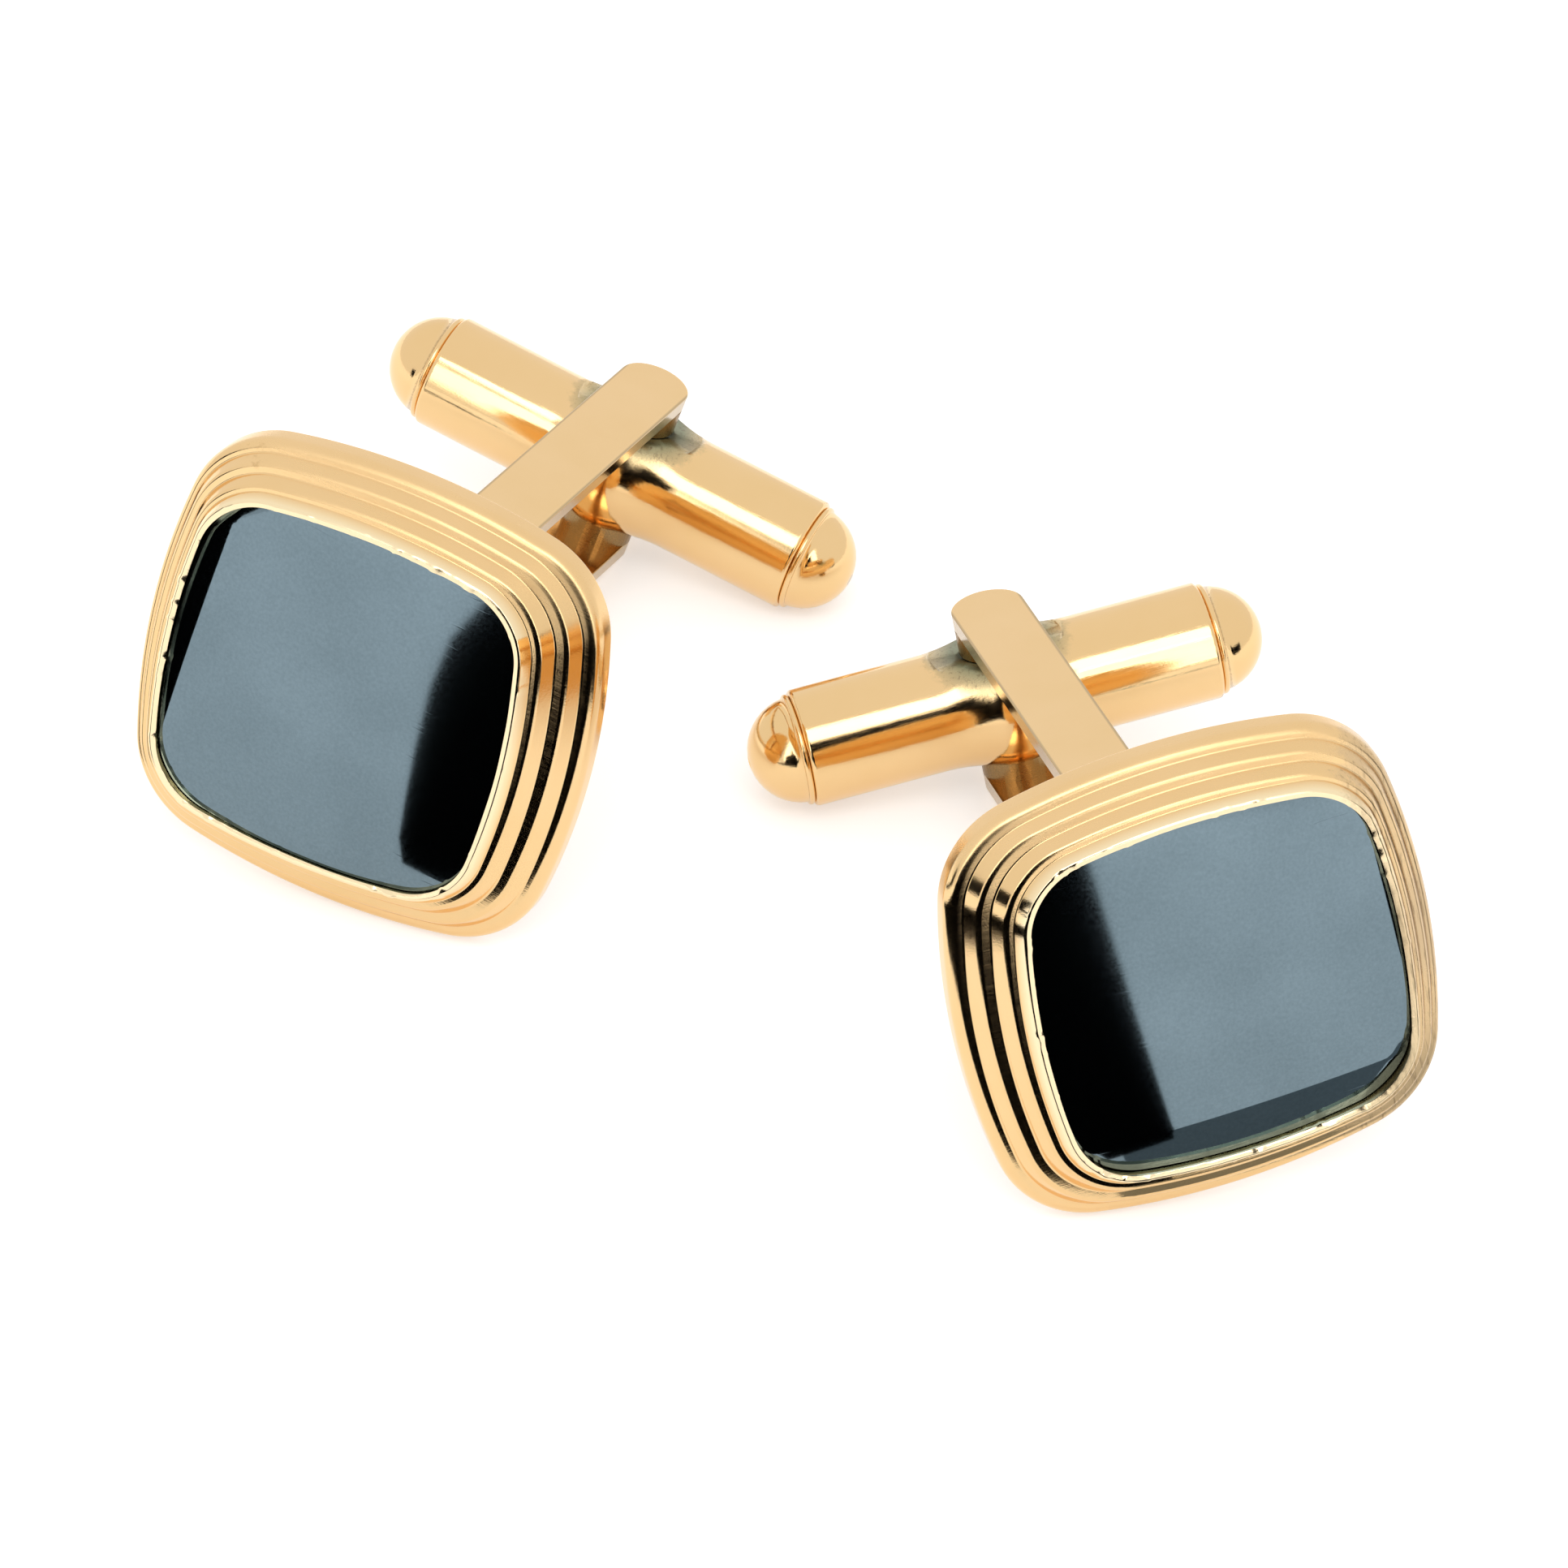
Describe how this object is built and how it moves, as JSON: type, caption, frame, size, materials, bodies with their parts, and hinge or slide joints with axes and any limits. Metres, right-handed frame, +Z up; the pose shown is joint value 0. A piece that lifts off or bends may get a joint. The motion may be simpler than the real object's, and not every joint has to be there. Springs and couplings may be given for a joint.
{
  "type": "swivel-bar cufflinks",
  "caption": "Matched cufflinks with stepped cushion faces set with domed black onyx, U-bent posts and round-ended toggles that turn on an axle.",
  "frame": {"origin": "centre of the bounding box at the floor that the pair rests on", "axes": "+X to the right along the row of the two cufflinks, +Y away from the faces toward the toggles, +Z up"},
  "size_m": [0.043, 0.0406, 0.0164],
  "materials": {
    "gold_plate": "polished gold plate, worn at the edges",
    "gold_plate_back": "satin gold plate",
    "bare_brass": "dull brass",
    "onyx": "opaque polished black onyx",
    "spring_steel": "spring steel"
  },
  "bodies": {
    "frames": {"left_bezel": "gold_plate", "left_onyx": "onyx", "left_back_plate": "gold_plate_back", "left_post_fork": "gold_plate", "left_axle_pin": "spring_steel", "left_cam": "spring_steel", "left_upper_washer": "bare_brass", "left_lower_washer": "bare_brass", "right_bezel": "gold_plate", "right_onyx": "onyx", "right_back_plate": "gold_plate_back", "right_post_fork": "gold_plate", "right_axle_pin": "spring_steel", "right_cam": "spring_steel", "right_upper_washer": "bare_brass", "right_lower_washer": "bare_brass"},
    "left_toggle": {"left_barrel": "gold_plate", "left_inner_cap": "gold_plate", "left_outer_cap": "gold_plate", "left_leaf_spring": "spring_steel"},
    "right_toggle": {"right_barrel": "gold_plate", "right_inner_cap": "gold_plate", "right_outer_cap": "gold_plate", "right_leaf_spring": "spring_steel"}
  },
  "joints": [
    {"name": "left_toggle_hinge", "type": "hinge", "parent": "frames", "child": "left_toggle", "pos_m": [-0.00633, 0.01588, 0.00357], "axis": [0.2809, 0.1069, 0.9538], "range_deg": [-92, 88]},
    {"name": "right_toggle_hinge", "type": "hinge", "parent": "frames", "child": "right_toggle", "pos_m": [0.00726, 0.00398, 0.00357], "axis": [-0.2416, 0.1506, 0.9586], "range_deg": [-87, 93]}
  ]
}
